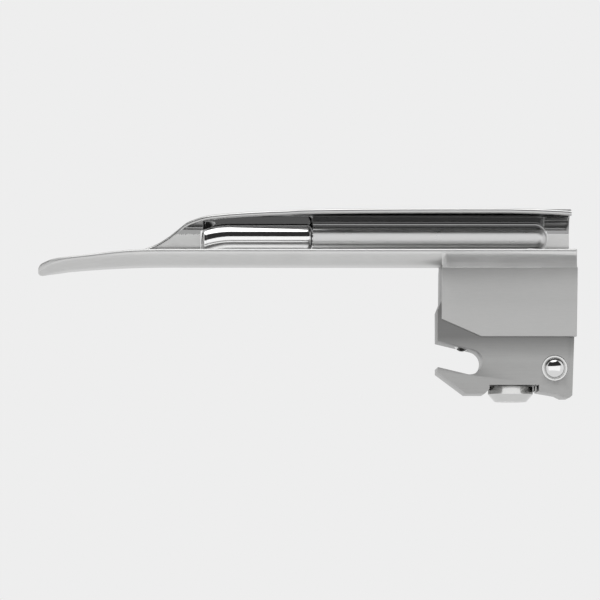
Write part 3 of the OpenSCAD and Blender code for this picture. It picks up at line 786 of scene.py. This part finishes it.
# ---- Ferrule and port ----
FERRULE_R = (ferrule_high[0] - ferrule_low[0]) / 2
CAP_TOP, CAP_EDGE, CAP_FACE_R = -4.45, -6.0, 2.95
STEM_R, POTTING_R = 2.4, 1.9
TOP_ROUND, EDGE_ROUND = 0.15, 0.12
PORT_GLASS_T = 0.59
port_axis = (PORT_X, 0, 0), (0, 0, 1)
ferrule = make("ferrule", lathe(
    [(TUBE_R, ferrule_high[2]), (STEM_R - 0.2, ferrule_high[2]), (STEM_R, ferrule_high[2] - 0.2),
     (STEM_R, CAP_TOP)]
    + arc(FERRULE_R - TOP_ROUND, CAP_TOP - TOP_ROUND, TOP_ROUND, 90, 0, 4)
    + [(FERRULE_R, CAP_EDGE + EDGE_ROUND)]
    + arc(FERRULE_R - EDGE_ROUND, CAP_EDGE + 0.07, EDGE_ROUND, 0, -40, 4)
    + [(CAP_FACE_R + 0.08, PORT_Z + 0.06), (CAP_FACE_R, PORT_Z), (POTTING_R + 0.1, PORT_Z),
       (POTTING_R, PORT_Z + 0.1), (POTTING_R, tube_low[2]), (TUBE_R, tube_low[2])],
    *port_axis, 96), turned)
place(ferrule, "light_guide", "polished_steel", "light_ferrule")
port_glass = make("port_glass", lathe(
    [(0, PORT_Z + 0.02), (1.2, PORT_Z + 0.03), (POTTING_R - 0.08, PORT_Z + 0.06),
     (POTTING_R, PORT_Z + 0.14), (POTTING_R, PORT_Z + PORT_GLASS_T), (0, PORT_Z + PORT_GLASS_T)],
    *port_axis), glass)
place(port_glass, "light_guide", "optical_glass", "port_window")
port_resin = make("port_resin", lathe(
    [(BUNDLE_R, PORT_Z + PORT_GLASS_T + 0.02), (POTTING_R - 0.01, PORT_Z + PORT_GLASS_T + 0.02),
     (POTTING_R - 0.01, tube_low[2]), (BUNDLE_R, tube_low[2])], *port_axis), resin)
place(port_resin, "light_guide", "resin", "port_potting")


# ---- Heel block and cover plates: the CAD outlines, with rounded edges ----
FLAT_WITHIN = math.radians(0.4)


def rebuilt(node, name, material, body, slot, width):
    """A CAD node's shape with clean flat faces and rounded edges, in its place."""
    bm = bmesh.new()
    bm.from_mesh(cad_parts[node].data)
    bmesh.ops.remove_doubles(bm, verts=bm.verts, dist=2e-6)
    bmesh.ops.dissolve_limit(bm, angle_limit=FLAT_WITHIN, verts=bm.verts, edges=bm.edges)
    mesh = bpy.data.meshes.new(name)
    bm.to_mesh(mesh)
    bm.free()
    obj = bpy.data.objects.new(name, mesh)
    bpy.context.scene.collection.objects.link(obj)
    mesh.materials.clear()
    mesh.materials.append(material)
    bevelled(obj, width)
    return place(obj, body, slot, node)


rebuilt("heel_block", "tongue", brushed, "blade", "brushed_tongue", 0.16)
for side in ("right", "left_front", "left_rear"):
    rebuilt("heel_cover_" + side, "cover_" + side, plate_steel, "blade", "satin_steel", 0.14)

# ---- Leaf, balls, detent bodies and springs ----
leaf_low, leaf_high = box_mm("retaining_leaf")
LEAF_BOW = 0.05                     # how far the leaf bows towards the heel end
LEAF_CORNER = 0.25
leaf_back = leaf_high[0] - 0.06
leaf_rows = []
for z in np.linspace(leaf_low[2], leaf_high[2], 9):
    share = (z - leaf_low[2]) / (leaf_high[2] - leaf_low[2])
    bow = LEAF_BOW * math.sin(math.pi * share)
    inset = LEAF_CORNER * (1 - min(1, 6 * min(share, 1 - share)))
    leaf_rows.append([(x, y, z) for x, y in (
        (leaf_low[0] + bow, leaf_low[1] + inset), (leaf_back, leaf_low[1] + inset),
        (leaf_back + bow * 0.5, 0), (leaf_back, leaf_high[1] - inset),
        (leaf_low[0] + bow, leaf_high[1] - inset), (leaf_low[0] + bow, 0))])
leaf = make("leaf", loft(leaf_rows), spring)
place(leaf, "leaf", "spring_steel", "retaining_leaf")


def ball(name, node, body):
    """A round ball in a CAD ball's place."""
    low, high = box_mm(node)
    r = (high[2] - low[2]) / 2
    profile = [(r * math.sin(a), r * math.cos(a)) for a in np.linspace(0, math.pi, 49)]
    piece = make(name, lathe(profile, (low + high) / 2, (0, 1, 0), 96), mirror)
    return place(piece, body, "ball_steel", node)


ball("hook_ball_piece", "hook_ball", "hook_ball_body")
ball("left_ball_piece", "detent_ball_left", "left_ball")
ball("right_ball_piece", "detent_ball_right", "right_ball")

DETENT_R, BODY_R, BODY_LEN, MOUTH_R, BORE_FLOOR = 2.2, 2.45, 6.0, 1.97, 0.5
BORE_R = DETENT_R + 0.03
LIP_T = 0.65                        # depth of the lip that keeps the ball in
detent_rest = box_mm("detent_ball_left")
detent_x, detent_z = (detent_rest[0] + detent_rest[1])[[0, 2]] / 2
for side, way in (("left", 1), ("right", -1)):
    mouth = way * block_high[1]
    profile = ([(0, 0), (BODY_R, 0), (BODY_R, BODY_LEN - 0.12)]
               + arc(BODY_R - 0.12, BODY_LEN - 0.12, 0.12, 0, 90, 4)
               + arc(MOUTH_R + 0.12, BODY_LEN - 0.08, 0.08, 90, 180, 4)
               + [(MOUTH_R + 0.03, BODY_LEN - 0.12), (BORE_R, BODY_LEN - LIP_T),
                  (BORE_R, BORE_FLOOR), (0, BORE_FLOOR)])
    base = (detent_x, mouth - way * BODY_LEN, detent_z)
    cup = make("detent_cup_" + side, lathe(profile, base, (0, way, 0), 96), turned)
    place(cup, "blade", "polished_steel", "detent_body_" + side)


def coil(name, node, radius, wire, origin, axis, height, turns):
    """A compression spring with closed ends."""
    w = np.array(axis, float)
    u = np.array([1.0, 0, 0])
    v = np.cross(w, u)
    steps = 28 * turns
    rise = height - 2 * wire        # of the wire's middle, slower at the closed ends
    places = []
    for k in range(steps + 1):
        share = k / steps
        a = 2 * math.pi * turns * share
        lift = rise * (3 * share ** 2 - 2 * share ** 3) * 0.6 + rise * share * 0.4
        out = math.cos(a) * u + math.sin(a) * v
        places.append((np.array(origin) + radius * out + (wire + lift) * w, out, w))
    piece = make(name, sweep(places, wire, 12), spring)
    place(piece, "blade", "spring_steel", node)
    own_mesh(piece)
    return piece


hook_low, hook_high = box_mm("hook_spring")
hook_x = (hook_low[0] + hook_high[0]) / 2
coil("hook_coil", "hook_spring", radius=1.05, wire=0.2, origin=(hook_x, 0, hook_high[2]),
     axis=(0, 0, -1), height=hook_high[2] - hook_low[2], turns=7)
for side, way in (("left", 1), ("right", -1)):
    low, high = box_mm("detent_spring_" + side)
    coil("detent_coil_" + side, "detent_spring_" + side, radius=1.5, wire=0.25,
         origin=(detent_x, way * (block_high[1] - BODY_LEN + BORE_FLOOR), detent_z),
         axis=(0, way, 0), height=high[1] - low[1], turns=3)


# ---- Stage: floor, backdrop, soft lights and dark cards, camera ----
AIM = Vector((-31.95, 0, 12)) * MM
EYE = Vector((-44.75, -840, -38)) * MM


def glow(name, strength):
    """The finish of a card that gives off an even light."""
    m = bpy.data.materials.new(name)
    m.use_nodes = True
    tree, new, link = nodes_of(m)
    tree.nodes.clear()
    light = new("ShaderNodeEmission")
    light.inputs["Strength"].default_value = strength
    link(light.outputs["Emission"], new("ShaderNodeOutputMaterial").inputs["Surface"])
    return m


DOME_R = 330.0                      # in millimetres, like the shapes


def dome_patch(name, azimuths, elevations, strength):
    """A patch of a dome round the blade, which only its reflections see. Azimuth 0 is the open
    side of the channel, and +90 the heel."""
    rows = []
    for el in np.linspace(*elevations, 9):
        out, up = DOME_R * math.cos(math.radians(el)), DOME_R * math.sin(math.radians(el))
        rows.append([(AIM[0] / MM + out * math.sin(math.radians(az)),
                      -out * math.cos(math.radians(az)), AIM[2] / MM + up)
                     for az in np.linspace(*azimuths, 25)])
    n = len(rows[0])
    faces = [(k * n + i, k * n + i + 1, (k + 1) * n + i + 1, (k + 1) * n + i)
             for k in range(len(rows) - 1) for i in range(n - 1)]
    obj = make(name, ([p for row in rows for p in row], faces), glow(name, strength))
    obj.visible_camera = obj.visible_diffuse = obj.visible_shadow = False


def matt(name, value):
    """A plain dull grey."""
    m = bpy.data.materials.new(name)
    m.use_nodes = True
    shader = m.node_tree.nodes["Principled BSDF"]
    shader.inputs["Base Color"].default_value = (value, value, value, 1)
    shader.inputs["Roughness"].default_value = 0.9
    shader.inputs["Specular IOR Level"].default_value = 0.1
    return m


dome_patch("dark_front", (-75, 75), (17, 60), 0.03)
dome_patch("low_front", (-60, 60), (-38, 16), 1.12)
dome_patch("top_light", (-180, 180), (64, 89), 2.3)
dome_patch("dark_back", (110, 250), (14, 50), 0.08)
FLOOR_REACH, FLOOR_DROP = 4000, -130    # the blade is shown clear of the floor
corners = [(sx * FLOOR_REACH, sy * FLOOR_REACH, FLOOR_DROP)
           for sx, sy in ((-1, -1), (1, -1), (1, 1), (-1, 1))]
floor = make("floor", (corners, [(0, 1, 2, 3)]), matt("floor_grey", 0.96))

world = bpy.data.worlds.new("studio")
bpy.context.scene.world = world
world.use_nodes = True
backdrop = world.node_tree.nodes["Background"]
backdrop.inputs["Color"].default_value = (0.855, 0.855, 0.855, 1)
backdrop.inputs["Strength"].default_value = 1.0

bpy.context.scene.view_settings.view_transform = "Standard"
camera_data = bpy.data.cameras.new("camera")
camera = bpy.data.objects.new("camera", camera_data)
bpy.context.scene.collection.objects.link(camera)
camera.location = EYE
camera.rotation_euler = (AIM - EYE).to_track_quat("-Z", "Y").to_euler()
camera_data.lens, camera_data.sensor_width = 265.7, 36
camera_data.clip_start, camera_data.clip_end = 0.01, 50
bpy.context.scene.camera = camera
